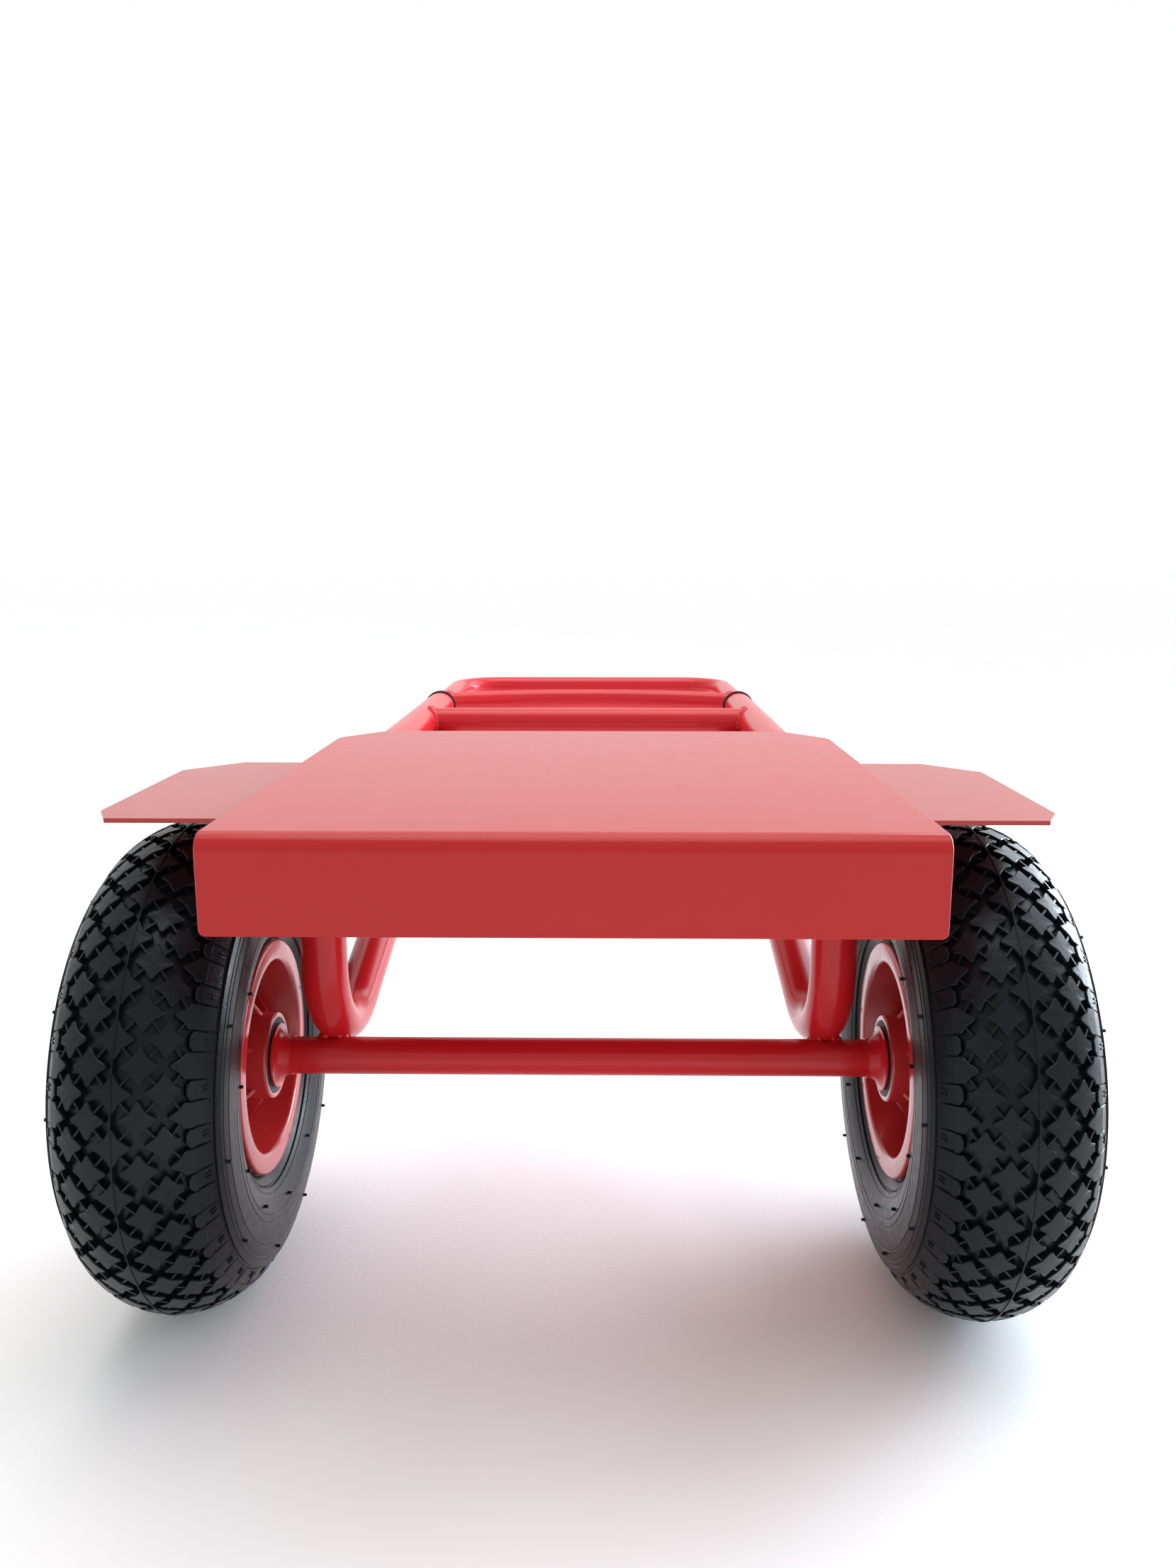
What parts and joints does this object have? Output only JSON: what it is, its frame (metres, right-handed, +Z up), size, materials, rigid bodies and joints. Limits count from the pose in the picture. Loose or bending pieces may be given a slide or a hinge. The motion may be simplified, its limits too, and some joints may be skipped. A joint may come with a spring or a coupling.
{
  "type": "folding hand truck",
  "caption": "Two-wheeled tubular steel hand truck with a folding toe plate, a telescopic loop handle, flat wheel guards and pneumatic tyres, lying folded.",
  "frame": {"origin": "bottom centre of the bounding box: on the floor under the tyres, midway along the folded truck", "axes": "+X to the right across the truck, +Y from the toe plate towards the loop handle, +Z up, the side that carries the load"},
  "size_m": [0.496, 0.768, 0.2831],
  "materials": {
    "powder_red": "glossy red powder coat with a faint orange peel",
    "rim_plastic": "glossy moulded red plastic",
    "tyre_rubber": "moulded black rubber with a satin bluish sheen",
    "black_plastic": "matt black moulded plastic",
    "seal_rubber": "matt black rubber",
    "zinc_steel": "bright zinc plate",
    "bearing_steel": "ground steel",
    "spring_steel": "blued spring steel"
  },
  "bodies": {
    "frame": {"rail_left": "powder_red", "rail_right": "powder_red", "leg_left": "powder_red", "leg_right": "powder_red", "wheel_guard_left": "powder_red", "wheel_guard_right": "powder_red", "frame_crossbar": "powder_red", "axle_tube": "powder_red", "axle_rod": "zinc_steel", "axle_split_pins": "zinc_steel", "axle_outer_washers": "zinc_steel", "axle_inner_washers": "powder_red", "hinge_bolts": "zinc_steel", "hinge_nuts": "zinc_steel", "hinge_washers": "zinc_steel", "guide_bush_left": "black_plastic", "guide_bush_right": "black_plastic"},
    "toe": {"toe_plate": "powder_red", "toe_lug_left_outer": "powder_red", "toe_lug_left_inner": "powder_red", "toe_lug_right_outer": "powder_red", "toe_lug_right_inner": "powder_red"},
    "handle": {"handle_loop": "powder_red", "handle_crossbar": "powder_red", "handle_glides": "black_plastic", "lock_spring_left": "spring_steel", "lock_spring_right": "spring_steel"},
    "button_left": {"lock_button_left": "zinc_steel"},
    "button_right": {"lock_button_right": "zinc_steel"},
    "wheel_left": {"tyre_left": "tyre_rubber", "inner_tube_left": "seal_rubber", "rim_left": "rim_plastic", "wheel_hub_left": "rim_plastic", "wheel_bearings_left": "bearing_steel", "bearing_seals_left": "seal_rubber", "bearing_spacer_left": "zinc_steel", "valve_stem_left": "seal_rubber", "valve_cap_left": "black_plastic"},
    "wheel_right": {"tyre_right": "tyre_rubber", "inner_tube_right": "seal_rubber", "rim_right": "rim_plastic", "wheel_hub_right": "rim_plastic", "wheel_bearings_right": "bearing_steel", "bearing_seals_right": "seal_rubber", "bearing_spacer_right": "zinc_steel", "valve_stem_right": "seal_rubber", "valve_cap_right": "black_plastic"}
  },
  "joints": [
    {"name": "toe_plate_fold", "type": "hinge", "parent": "frame", "child": "toe", "pos_m": [0, -0.3657, 0.2667], "axis": [1, 0, 0], "range_deg": [0, 90]},
    {"name": "handle_slide", "type": "slide", "parent": "frame", "child": "handle", "axis": [0, 1, 0], "range_m": [0, 0.35]},
    {"name": "lock_button_left_press", "type": "slide", "parent": "handle", "child": "button_left", "axis": [0, 0, -1], "range_m": [0, 0.004]},
    {"name": "lock_button_right_press", "type": "slide", "parent": "handle", "child": "button_right", "axis": [0, 0, -1], "range_m": [0, 0.004]},
    {"name": "wheel_left_spin", "type": "hinge", "parent": "frame", "child": "wheel_left", "pos_m": [-0.202, -0.254, 0.13], "axis": [1, 0, 0], "continuous": true},
    {"name": "wheel_right_spin", "type": "hinge", "parent": "frame", "child": "wheel_right", "pos_m": [0.202, -0.254, 0.13], "axis": [1, 0, 0], "continuous": true}
  ]
}
